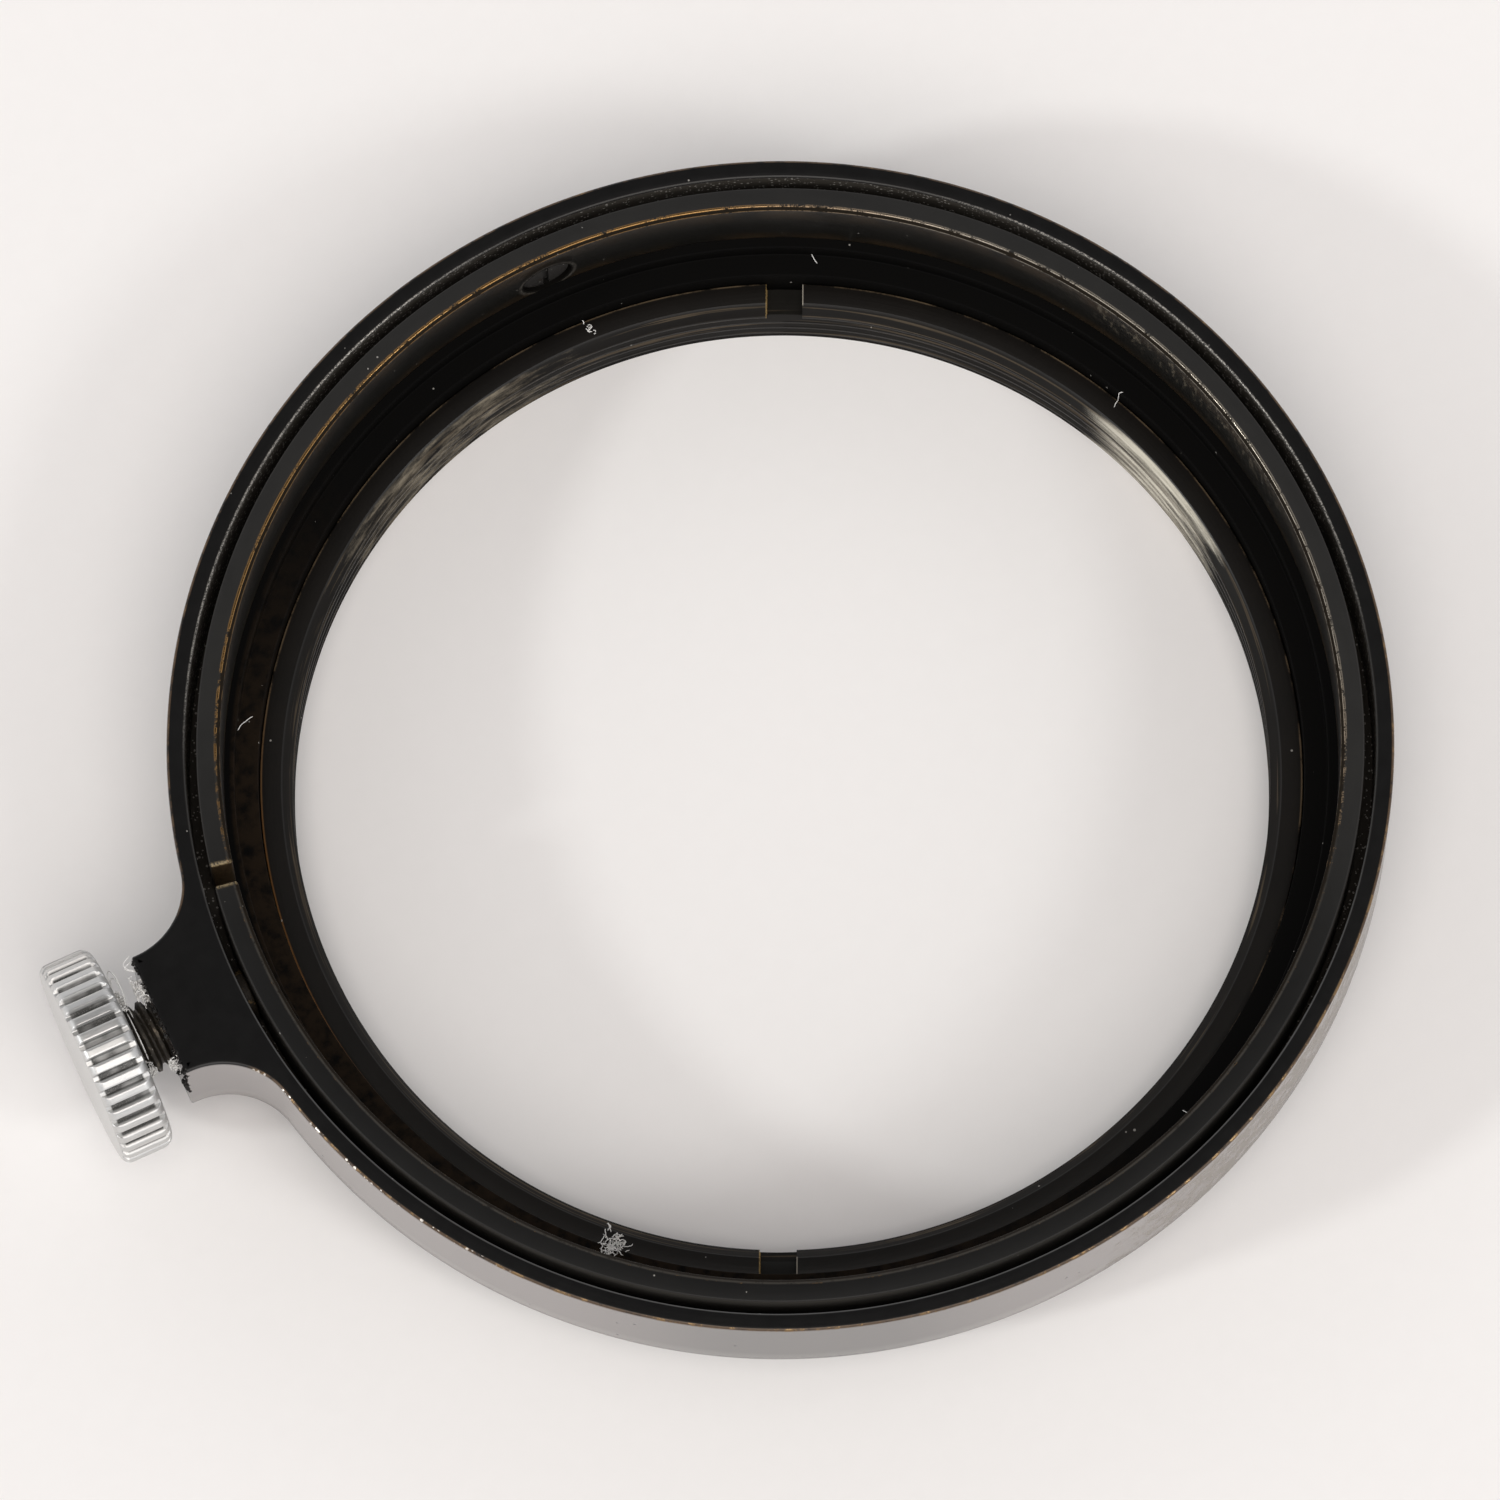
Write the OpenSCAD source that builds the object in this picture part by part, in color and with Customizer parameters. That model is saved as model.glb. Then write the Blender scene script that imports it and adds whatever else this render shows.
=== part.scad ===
// Slip-on clamp ring that carries a threaded adapter on the front of a lens.
// +Z is the optical axis, towards the lens barrel that the ring is pushed onto.
// The origin is the centre of the front thread's mouth, in the plane the ring stands on.
// The thumbscrew lies along -X.

/* [Collar] */
// Outside diameter of the collar
collar_d = 60; // [58:0.5:66]
// Height of the collar's outer wall
collar_h = 5.5; // [5:0.1:6]
// Overall height, from the standing face to the collar's top face
total_h = 9.6; // [9.4:0.1:11]
// Radial thickness of the collar's wall around the band groove
rim_t = 0.9; // [0.6:0.1:1.2]
// Outside diameter of the neck below the collar
neck_d = 55.6; // [54:0.2:57]
// Height of the ledge that stops the lens barrel
ledge_z = 4.5; // [4.4:0.1:4.8]

/* [Clamp band] */
// Inside diameter of the relaxed band, which the lens barrel slides into
band_id = 54.8; // [54.2:0.1:55]
// Radial thickness of the band
band_t = 1.14; // [0.8:0.02:1.2]
// Height of the band
band_h = 4.1; // [3.6:0.1:4.2]
// Width of the gap between the band's ends
band_gap = 0.98; // [0.8:0.02:1.2]
// Angle of the gap's middle about the optical axis
gap_a = 169.3; // [166:0.1:171]
// Angle where the free arm of the band begins to bend
flex_a = 245; // [235:1:260]
// Angle of the screw that anchors the band to the collar
anchor_a = 90; // [86:0.5:94]

/* [Adapter ring] */
// Outside diameter of the adapter ring
adapter_d = 51.46; // [51:0.02:51.5]
// Wall diameter inside the front thread
thread_id = 48.3; // [48:0.1:48.8]
// Height of the adapter ring
adapter_h = 3.4; // [3:0.1:3.6]
// Width of the two spanner slots
slot_w = 1.8; // [1.6:0.1:2.4]
// Depth of the two spanner slots
slot_depth = 0.9; // [0.6:0.1:1.2]
// Angle of the first spanner slot
slot_a = 64.6; // [0:0.1:180]

/* [Thumbscrew] */
// Diameter of the knurled head over its ridges
head_d = 10.5; // [9:0.1:11]
// Thickness of the knurled head
head_t = 2.7; // [2.4:0.1:2.8]
// Number of ridges round the head
knurl_n = 38; // [30:1:44]
// Diameter of the threaded shank
shank_d = 3.6; // [3.2:0.1:3.8]
// Pitch of the shank's thread
shank_pitch = 0.6; // [0.5:0.05:0.7]
// Space between the boss and the head with the clamp open
head_gap = 1.6; // [1.3:0.1:2]

/* [Boss] */
// Distance from the optical axis to the boss's end face
boss_r = 33.3; // [33:0.1:34.4]
// Width of the boss at its end face
boss_w = 6.5; // [6:0.1:7]
// Radius of the concave blends from the boss into the collar
boss_blend = 3.8; // [3:0.1:4.2]

/* [Hidden] */
$fn = 128;
eps = 0.02;
// Cutters reach this far past the faces they open.
over = 1;

collar_r = collar_d / 2;
collar_z = total_h - collar_h;
edge_c = 0.3;
groove_r = collar_r - rim_t;
band_ri = band_id / 2;
band_ro = band_ri + band_t;
band_z = total_h - band_h;
band_lift = 0.05;
band_floor_z = band_z - band_lift;
band_chamfer = 0.17;
step_r = band_ri - 0.5;
neck_r = neck_d / 2;

adapter_r = adapter_d / 2;
adapter_fit = 0.05;
spigot_r = adapter_r - 0.75;
spigot_h = 0.8;
thread_r = thread_id / 2;
mouth_c = 0.45;
mouth_w = mouth_c + 0.1;

gap_half_a = asin(band_gap / 2 / band_ro);
flex_slit = 0.06;
flex_half_a = asin(flex_slit / 2 / band_ro);

screw_z = collar_z + collar_h / 2;
shank_r = shank_d / 2;
shank_fit = 0.05;
head_r = head_d / 2;
head_x = -boss_r - head_gap;
knurl_depth = 0.3;
// Where each ridge ends, the root begins and the root ends, as shares of one step.
knurl_shares = [0.46, 0.6, 0.86];
rim_round = 0.5;
dog_r = 1.1;
dog_l = 0.5;
dog_c = 0.1;
pad_nose_r = 1.25;
pad_nose_l = 1.55;
pad_flange_l = 0.8;
pad_edge_c = 0.15;
pad_gap = 0.06;
pad_x = -band_ro - pad_gap;
shank_tip_x = pad_x - pad_nose_l - pad_flange_l;
shank_core_r = shank_r - 0.33;
socket_l = 1.6;
// Where each thread ridge starts, peaks, leaves its peak and ends, as shares of the pitch.
ridge_shares = [0.1, 0.45, 0.6, 0.95];
screw_hole_end = -groove_r + 0.2;

anchor_head_r = 1.25;
anchor_shank_r = 0.8;
anchor_sink = 0.2;
anchor_fit = 0.05;
anchor_end = 0.1;
anchor_slot_w = 0.3;
anchor_slot_h = 0.2;
anchor_head_h = anchor_head_r - anchor_shank_r;

// A wedge of the plane between two angles, used to cut rings into arcs.
module sector(a0, a1, r) {
    steps = 24;
    polygon(concat([[0, 0]],
        [for (i = [0:steps]) let (a = a0 + (a1 - a0) * i / steps) [r * cos(a), r * sin(a)]]));
}

// Outline of the boss, with a concave blend on each side.
module boss_outline() {
    c = boss_w / 2 + boss_blend;
    x = -sqrt(pow(collar_r + boss_blend, 2) - c * c);
    inset_r = collar_r - 0.3;
    root_x = x * inset_r / (collar_r + boss_blend);
    root_y = c * inset_r / (collar_r + boss_blend);
    difference() {
        polygon([[-boss_r, -root_y], [-boss_r, root_y], [root_x, root_y],
            [-inset_r, 0], [root_x, -root_y]]);
        for (s = [-1, 1]) translate([x, s * c]) circle(r = boss_blend);
    }
}

module collar_profile() {
    polygon([
        [spigot_r + adapter_fit, 0], [neck_r - edge_c, 0], [neck_r, edge_c], [neck_r, collar_z],
        [collar_r - edge_c / 2, collar_z], [collar_r, collar_z + edge_c / 2],
        [collar_r, total_h - edge_c], [collar_r - edge_c, total_h],
        [groove_r + edge_c, total_h], [groove_r, total_h - edge_c], [groove_r, band_floor_z],
        [step_r, band_floor_z], [step_r, ledge_z],
        [adapter_r + adapter_fit, ledge_z], [adapter_r + adapter_fit, spigot_h],
        [spigot_r + adapter_fit, spigot_h]]);
}

// The collar: outer wall, boss, band groove, ledge and neck in one turned and milled piece.
module collar_body() {
    color("#262628") difference() {
        union() {
            rotate_extrude() collar_profile();
            translate([0, 0, collar_z]) linear_extrude(collar_h) boss_outline();
        }
        translate([-boss_r - over, 0, screw_z]) rotate([0, 90, 0])
            cylinder(h = boss_r + over + screw_hole_end, r = shank_r + shank_fit);
        rotate([0, 0, anchor_a]) translate([band_ro, 0, screw_z]) rotate([0, 90, 0])
            cylinder(h = collar_r - band_ro + over, r = anchor_shank_r + anchor_fit);
    }
}

module band_ring() {
    rotate_extrude() polygon([
        [band_ri, band_z], [band_ro, band_z], [band_ro, total_h],
        [band_ri + band_chamfer, total_h], [band_ri, total_h - band_chamfer]]);
}

// The part of the band that stays against the collar, with the countersunk anchor hole.
module clamp_band() {
    color("#3a3835") difference() {
        band_ring();
        translate([0, 0, band_z - over]) linear_extrude(band_h + 2 * over)
            sector(gap_a - gap_half_a, flex_a + flex_half_a, 1.2 * collar_r);
        rotate([0, 0, anchor_a]) translate([0, 0, screw_z]) rotate([0, 90, 0]) {
            cylinder(h = collar_r, r = anchor_shank_r + anchor_fit);
            cylinder(h = band_ri + anchor_sink, r = anchor_head_r + anchor_fit);
            translate([0, 0, band_ri + anchor_sink])
                cylinder(h = anchor_head_h, r1 = anchor_head_r + anchor_fit,
                    r2 = anchor_shank_r + anchor_fit);
        }
    }
}

// The part of the band that the thumbscrew pushes inwards.
module clamp_band_free_arm() {
    color("#3a3835") intersection() {
        band_ring();
        translate([0, 0, band_z - over]) linear_extrude(band_h + 2 * over)
            sector(gap_a + gap_half_a, flex_a - flex_half_a, 1.2 * collar_r);
    }
}

// The countersunk screw that holds the band to the collar, with a driver slot.
module band_screw() {
    color("#4b4540") rotate([0, 0, anchor_a]) translate([0, 0, screw_z]) rotate([0, 90, 0])
        difference() {
            union() {
                translate([0, 0, band_ri + anchor_sink])
                    cylinder(h = anchor_head_h, r1 = anchor_head_r, r2 = anchor_shank_r);
                translate([0, 0, band_ri + anchor_sink + anchor_head_h - eps])
                    cylinder(h = collar_r - anchor_end - band_ri - anchor_sink - anchor_head_h + eps,
                        r = anchor_shank_r);
            }
            translate([-anchor_head_r - over, -anchor_slot_w / 2, band_ri])
                cube([2 * (anchor_head_r + over), anchor_slot_w, anchor_sink + anchor_slot_h]);
        }
}

// The slotted ring that screws into the neck and carries the front thread.
module adapter_ring() {
    color("#2b2a28") difference() {
        rotate_extrude() polygon([
            [thread_r, 0], [spigot_r, 0], [spigot_r, spigot_h], [adapter_r, spigot_h],
            [adapter_r, adapter_h], [thread_r + mouth_w, adapter_h],
            [thread_r, adapter_h - mouth_c]]);
        rotate([0, 0, slot_a])
            translate([-adapter_r - over, -slot_w / 2, adapter_h - slot_depth])
                cube([2 * (adapter_r + over), slot_w, slot_depth + over]);
    }
}

// Outline of the knurled rim: flat ridges with a narrower root between them.
module knurl_outline() {
    step = 360 / knurl_n;
    root_r = head_r - knurl_depth;
    polygon([for (i = [0:knurl_n - 1]) each [
        for (k = [[0, head_r], [knurl_shares[0], head_r], [knurl_shares[1], root_r],
                [knurl_shares[2], root_r]])
            [k[1] * cos((i + k[0]) * step), k[1] * sin((i + k[0]) * step)]]]);
}

// The knurled head, bored to take the shank.
module thumbscrew_head() {
    color("#c9c9c6") translate([head_x - head_t, 0, screw_z]) rotate([0, 90, 0])
        difference() {
            intersection() {
                linear_extrude(head_t) knurl_outline();
                rotate_extrude() polygon([
                    [0, 0], [head_r - rim_round, 0], [head_r, rim_round],
                    [head_r, head_t - rim_round], [head_r - rim_round, head_t], [0, head_t]]);
            }
            translate([0, 0, head_t - socket_l]) cylinder(h = socket_l + over, r = shank_core_r);
        }
}

// The threaded shank, with one ridge for each turn of its thread and a plain dog point.
module thumbscrew_shank() {
    start = head_x;
    length = shank_tip_x - dog_l - start;
    turns = floor(length / shank_pitch);
    color("#55514b") translate([start, 0, screw_z]) rotate([0, 90, 0]) rotate_extrude()
        polygon(concat(
            [[0, -socket_l], [shank_core_r, -socket_l], [shank_core_r, 0]],
            [for (i = [0:turns - 1]) each [
                [shank_core_r, (i + ridge_shares[0]) * shank_pitch],
                [shank_r, (i + ridge_shares[1]) * shank_pitch],
                [shank_r, (i + ridge_shares[2]) * shank_pitch],
                [shank_core_r, (i + ridge_shares[3]) * shank_pitch]]],
            [[shank_core_r, length], [dog_r, length + dog_c],
                [dog_r, length + dog_l], [0, length + dog_l]]));
}

// The pad that slides in the boss between the shank's point and the band.
module pressure_pad() {
    color("#b08d4f") translate([shank_tip_x, 0, screw_z]) rotate([0, 90, 0])
        rotate_extrude() polygon([
            [0, 0], [shank_r - pad_edge_c, 0], [shank_r, pad_edge_c], [shank_r, pad_flange_l],
            [pad_nose_r, pad_flange_l], [pad_nose_r, pad_flange_l + pad_nose_l],
            [0, pad_flange_l + pad_nose_l]]);
}

collar_body();
clamp_band();
clamp_band_free_arm();
band_screw();
adapter_ring();
thumbscrew_head();
thumbscrew_shank();
pressure_pad();
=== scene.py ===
import math
import random
from types import SimpleNamespace

import bmesh
import bpy
import numpy as np
from mathutils import Matrix, Quaternion, Vector


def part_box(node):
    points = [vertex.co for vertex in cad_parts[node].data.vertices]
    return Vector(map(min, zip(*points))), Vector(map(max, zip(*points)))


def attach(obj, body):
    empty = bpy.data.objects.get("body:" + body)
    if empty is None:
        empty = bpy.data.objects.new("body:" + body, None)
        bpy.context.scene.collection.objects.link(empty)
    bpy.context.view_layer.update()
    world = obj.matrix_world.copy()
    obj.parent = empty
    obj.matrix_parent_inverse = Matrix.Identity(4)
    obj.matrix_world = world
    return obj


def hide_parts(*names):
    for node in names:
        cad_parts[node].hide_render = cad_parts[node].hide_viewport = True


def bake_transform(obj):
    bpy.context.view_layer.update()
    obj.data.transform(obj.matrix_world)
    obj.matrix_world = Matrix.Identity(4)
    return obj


# Clamp-on lens adapter ring: a black lacquered collar with a split clamp band inside, closed by a
# knurled thumbscrew, and a slotted, threaded adapter ring low in its bore.

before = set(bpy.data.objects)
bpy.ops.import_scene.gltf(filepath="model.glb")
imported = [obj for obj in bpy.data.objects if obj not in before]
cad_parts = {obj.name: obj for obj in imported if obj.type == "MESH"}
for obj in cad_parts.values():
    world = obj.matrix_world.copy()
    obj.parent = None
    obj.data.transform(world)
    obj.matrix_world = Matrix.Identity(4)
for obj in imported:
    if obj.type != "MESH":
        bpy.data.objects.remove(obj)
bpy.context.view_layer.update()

MM = 0.001
SEED = 7

# ---- sizes from the frame, in mm


def box_mm(node):
    """Lowest and highest corner of a node of the frame, in mm."""
    low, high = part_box(node)
    return low / MM, high / MM


collar_lo, collar_hi = box_mm("collar_body")
band_lo, band_hi = box_mm("clamp_band")
adapter_hi = box_mm("adapter_ring")[1]
head_lo, head_hi = box_mm("thumbscrew_head")
shank_lo, shank_hi = box_mm("thumbscrew_shank")
pad_lo, pad_hi = box_mm("pressure_pad")
anchor_lo, anchor_hi = box_mm("band_screw")

TOP = collar_hi.z
COLLAR_R = collar_hi.x
BOSS_R = -collar_lo.x
BAND_RO = band_hi.x
BAND_Z = band_lo.z
ADAPTER_R = adapter_hi.x
ADAPTER_H = adapter_hi.z
SCREW_Z = (head_lo.z + head_hi.z) / 2
HEAD_R = (head_hi.z - head_lo.z) / 2
HEAD_X0, HEAD_X1 = head_lo.x, head_hi.x
SHANK_R = (shank_hi.z - shank_lo.z) / 2
SHANK_TIP = shank_hi.x
PAD_R = (pad_hi.z - pad_lo.z) / 2

# Sizes that the boxes do not give, in mm and degrees, as in the CAD model.
BAND_RI = 27.4
COLLAR_H = 5.5
FOOT = TOP - COLLAR_H
GROOVE_R = 29.1
NECK_R = 27.8
STEP_R = 26.9
LEDGE_Z = 4.5
SPIGOT_R = 24.98
SPIGOT_H = 0.8
BOSS_HALF = 3.25
BOSS_BLEND = 3.8
BOSS_CORNER = 0.12
BOSS_CORNER_X = -BOSS_R + 0.2
CHAMFER = 0.17
GAP_A = 169.3
GAP_HALF = 0.98
SEAM_A = 275.0
ANCHOR_A = 90.0
ANCHOR_HEAD_R = 1.25
ANCHOR_HEAD_H = 0.45
ANCHOR_SHANK_R = 0.8
RECESS_DEPTH = 0.2
RECESS_R = 1.42
THREAD_R = 24.15
THREAD_PITCH = 0.75
THREAD_DEPTH = 0.36
SLOT_A = 64.6
SLOT_W = 1.8
SLOT_DEPTH = 0.9
KNURLS = 38
KNURL_DEPTH = 0.3
SHANK_PITCH = 0.6
SHANK_DEPTH = 0.33
TRAVEL = 1.0

# ---- mesh tools


def unit(angle):
    """Unit vector in the plane of the ring at an angle in degrees."""
    return np.array([math.cos(math.radians(angle)), math.sin(math.radians(angle))])


def rounded(points, steps=4):
    """A profile of (r, z, radius) corners with each corner replaced by an arc of its radius."""
    out = []
    n = len(points)
    for i, (x, z, radius) in enumerate(points):
        here = np.array([x, z], float)
        if radius <= 0:
            out.append(here)
            continue
        before = np.array(points[i - 1][:2], float) - here
        after = np.array(points[(i + 1) % n][:2], float) - here
        before /= np.linalg.norm(before)
        after /= np.linalg.norm(after)
        half = math.acos(np.clip(before @ after, -1, 1)) / 2
        reach = radius / math.tan(half)
        centre = here + (before + after) / np.linalg.norm(before + after) * radius / math.sin(half)
        a = here + before * reach - centre
        b = here + after * reach - centre
        turn = math.acos(np.clip(a @ b / radius**2, -1, 1))
        for k in range(steps + 1):
            t = k / steps
            w = (math.sin((1 - t) * turn) * a + math.sin(t * turn) * b) / math.sin(turn)
            out.append(centre + w)
    return np.array(out)


def add_object(name, data):
    """A new object in the scene."""
    obj = bpy.data.objects.new(name, data)
    bpy.context.scene.collection.objects.link(obj)
    return obj


def mesh_object(name, vertices_mm, faces, sharp=32.0, attributes=None):
    """An object from vertices in mm, with outward faces and edges sharper than an angle kept crisp."""
    mesh = bpy.data.meshes.new(name)
    mesh.from_pydata([tuple(v) for v in np.asarray(vertices_mm, float) * MM], [], faces)
    for key, values in (attributes or {}).items():
        layer = mesh.attributes.new(key, "FLOAT", "POINT")
        layer.data.foreach_set("value", np.asarray(values, np.float32))
    mesh.validate()
    obj = add_object(name, mesh)
    finish_mesh(obj, sharp)
    return obj


def finish_mesh(obj, sharp=32.0):
    """Points the faces outwards and sets smooth shading with crisp edges."""
    bm = bmesh.new()
    bm.from_mesh(obj.data)
    bmesh.ops.remove_doubles(bm, verts=bm.verts, dist=2e-7)
    bmesh.ops.dissolve_degenerate(bm, dist=1e-7, edges=bm.edges)
    bmesh.ops.recalc_face_normals(bm, faces=bm.faces)
    if bm.calc_volume(signed=True) < 0:
        bmesh.ops.reverse_faces(bm, faces=bm.faces)
    bm.to_mesh(obj.data)
    bm.free()
    obj.data.shade_smooth()
    obj.data.set_sharp_from_angle(angle=math.radians(sharp))


def grid(points, close_rows, close_columns=True):
    """Vertices and quads of a grid of points[row][column], closed round either way."""
    rows, columns = points.shape[:2]
    faces = []
    for i in range(rows if close_rows else rows - 1):
        for j in range(columns if close_columns else columns - 1):
            i2, j2 = (i + 1) % rows, (j + 1) % columns
            faces.append((i * columns + j, i2 * columns + j, i2 * columns + j2, i * columns + j2))
    return points.reshape(-1, 3), faces


def revolve(profile, angles):
    """Points of a profile of (r, z) turned to each angle in degrees."""
    a = np.radians(np.asarray(angles, float))[:, None]
    r, z = profile[None, :, 0], profile[None, :, 1]
    return np.stack([r * np.cos(a), r * np.sin(a), z + 0 * a], 2)


def capped(points, start, end):
    """A grid closed at both ends of its profiles, with a fan to a point on the axis at each height."""
    vertices, faces = grid(points, True, False)
    rows, columns = points.shape[:2]
    first, last = len(vertices), len(vertices) + 1
    for i in range(rows):
        i2 = (i + 1) % rows
        faces.append((first, i2 * columns, i * columns))
        faces.append((last, i * columns + columns - 1, i2 * columns + columns - 1))
    return np.vstack([vertices, [[0, 0, start], [0, 0, end]]]), faces


def spindle(name, profile, steps=96, sharp=32.0):
    """An open profile of (r, height) that starts and ends on the axis, turned about Z."""
    points = revolve(profile[1:-1], np.linspace(0, 360, steps, endpoint=False))
    return mesh_object(name, *capped(points, profile[0][1], profile[-1][1]), sharp)


def cut(obj, *cutters, sharp=32.0):
    """Takes the cutters away from a piece and removes them."""
    for cutter in cutters:
        modifier = obj.modifiers.new("cut", "BOOLEAN")
        modifier.object = cutter
        modifier.solver = "EXACT"
    evaluated = obj.evaluated_get(bpy.context.evaluated_depsgraph_get())
    made = bpy.data.meshes.new_from_object(evaluated)
    obj.modifiers.clear()
    old = obj.data
    obj.data = made
    made.name = old.name
    bpy.data.meshes.remove(old)
    for cutter in cutters:
        bpy.data.objects.remove(cutter)
    finish_mesh(obj, sharp)


def along_x(obj, x, z=SCREW_Z):
    """Turns a piece built about Z so that its axis runs along +X from x, at height z, both in mm."""
    place = Matrix.Translation((x * MM, 0, z * MM)) @ Matrix.Rotation(math.radians(90), 4, "Y")
    obj.data.transform(place)
    return obj


def radial(obj, angle, z=SCREW_Z):
    """Turns a piece built about Z so that its axis runs outwards at an angle, at height z in mm."""
    place = (Matrix.Rotation(math.radians(angle), 4, "Z") @ Matrix.Translation((0, 0, z * MM))
             @ Matrix.Rotation(math.radians(90), 4, "Y"))
    obj.data.transform(place)
    return obj


# ---- shading tools


class Shade:
    """A Principled material and short calls for its nodes. Positions are in mm."""

    def __init__(self, name):
        self.material = bpy.data.materials.new(name)
        self.material.use_nodes = True
        self.tree = self.material.node_tree
        self.bsdf = self.tree.nodes["Principled BSDF"]
        coordinates = self.node("TexCoord")
        scaled = self.node("VectorMath")
        scaled.operation = "SCALE"
        scaled.inputs["Scale"].default_value = 1 / MM
        self.tree.links.new(coordinates.outputs["Object"], scaled.inputs[0])
        self.position = scaled.outputs[0]
        split = self.node("SeparateXYZ")
        self.tree.links.new(self.position, split.inputs[0])
        self.x, self.y, self.z = split.outputs
        self.r = self.length(self.x, self.y)

    def node(self, kind):
        return self.tree.nodes.new("ShaderNode" + kind)

    def put(self, socket, value):
        if isinstance(value, bpy.types.NodeSocket):
            self.tree.links.new(value, socket)
        elif isinstance(value, (tuple, list)) and len(value) == 3 and socket.type == "RGBA":
            socket.default_value = (*value, 1)
        else:
            socket.default_value = value

    def math(self, operation, a, b=0.0):
        node = self.node("Math")
        node.operation = operation
        self.put(node.inputs[0], a)
        self.put(node.inputs[1], b)
        return node.outputs[0]

    def step(self, value, low, high):
        """0 below low and 1 above high, smooth in between. With low above high it falls."""
        node = self.node("MapRange")
        node.interpolation_type = "SMOOTHSTEP"
        self.put(node.inputs["Value"], value)
        a, b, c, d = (low, high, 0.0, 1.0) if low < high else (high, low, 1.0, 0.0)
        for key, number in (("From Min", a), ("From Max", b), ("To Min", c), ("To Max", d)):
            node.inputs[key].default_value = number
        return node.outputs["Result"]

    def within(self, value, low, high, soft):
        """1 between low and high, fading over soft at each end."""
        return self.both(self.step(value, low - soft, low + soft),
                         self.step(value, high + soft, high - soft))

    def fold(self, operation, values):
        made = values[0]
        for value in values[1:]:
            made = self.math(operation, made, value)
        return made

    def both(self, *values):
        """Their product."""
        return self.fold("MULTIPLY", values)

    def add(self, *values):
        return self.fold("ADD", values)

    def length(self, a, b):
        return self.math("SQRT", self.add(self.both(a, a), self.both(b, b)))

    def either(self, *values):
        """The largest of them."""
        return self.fold("MAXIMUM", values)

    def facing(self, angle, narrow, wide):
        """1 within narrow degrees of an angle round the ring, 0 past wide degrees."""
        c, s = unit(angle)
        cosine = self.math("DIVIDE", self.add(self.both(self.x, c), self.both(self.y, s)), self.r)
        return self.step(cosine, math.cos(math.radians(wide)), math.cos(math.radians(narrow)))

    def across(self, angle):
        """Distance to the left of the plane through the axis at an angle, in mm."""
        c, s = unit(angle)
        return self.math("SUBTRACT", self.both(self.y, c), self.both(self.x, s))

    def stretched(self, factors):
        node = self.node("VectorMath")
        node.operation = "MULTIPLY"
        self.put(node.inputs[0], self.position)
        node.inputs[1].default_value = factors
        return node.outputs[0]

    def turned(self, around=6.0):
        """Coordinates that follow the lathe's cuts: radius, height and a slow term round the ring."""
        slow = self.math("DIVIDE", self.add(self.x, self.both(self.y, 0.7)), around)
        node = self.node("CombineXYZ")
        self.put(node.inputs[0], self.r)
        self.put(node.inputs[1], self.z)
        self.put(node.inputs[2], slow)
        return node.outputs[0]

    def noise(self, scale, detail=3.0, roughness=0.55, vector=None):
        node = self.node("TexNoise")
        self.put(node.inputs["Vector"], vector or self.position)
        node.inputs["Scale"].default_value = scale
        node.inputs["Detail"].default_value = detail
        node.inputs["Roughness"].default_value = roughness
        return node.outputs["Fac"]

    def specks(self, scale, size, share):
        """Small round dots: their radius as a part of a cell, and the share of cells with one."""
        node = self.node("TexVoronoi")
        self.put(node.inputs["Vector"], self.position)
        node.inputs["Scale"].default_value = scale
        split = self.node("SeparateColor")
        self.tree.links.new(node.outputs["Color"], split.inputs[0])
        chosen = self.math("GREATER_THAN", split.outputs[0], 1 - share)
        span = self.both(self.add(split.outputs[1], 0.35), size)
        near = self.math("LESS_THAN", node.outputs["Distance"], span)
        return self.both(chosen, near)

    def attribute(self, name):
        node = self.node("Attribute")
        node.attribute_name = name
        return node.outputs["Fac"]

    def mix(self, factor, a, b):
        """Mixes two colours, or two numbers."""
        colour = any(isinstance(v, (tuple, list)) or getattr(v, "type", "") == "RGBA" for v in (a, b))
        node = self.node("Mix")
        node.data_type = "RGBA" if colour else "FLOAT"
        node.clamp_factor = True
        key = "Color" if colour else "Float"
        sockets = {s.identifier: s for s in node.inputs}
        self.put(sockets["Factor_Float"], factor)
        self.put(sockets["A_" + key], a)
        self.put(sockets["B_" + key], b)
        return {s.identifier: s for s in node.outputs}["Result_" + key]

    def coat(self, colour, coats):
        """Lays coats over a colour or a number: each is a share and what it lays on."""
        for share, over in coats:
            colour = self.mix(share, colour, over)
        return colour

    def bump(self, height, distance_mm):
        node = self.node("Bump")
        node.inputs["Distance"].default_value = distance_mm * MM
        self.put(node.inputs["Height"], height)
        return node.outputs["Normal"]

    def set(self, **values):
        """Sets the shader's sockets: names with _ for a space."""
        names = {s.name.lower().replace(" ", "_"): s for s in self.bsdf.inputs}
        for key, value in values.items():
            self.put(names[key], value)
        return self.material


DUST = (0.42, 0.40, 0.37)
LACQUER = (0.030, 0.023, 0.022)
# Colour of the collar wall's paler patches: a painted reflection.
RUBBED = (0.13, 0.108, 0.104)


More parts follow.
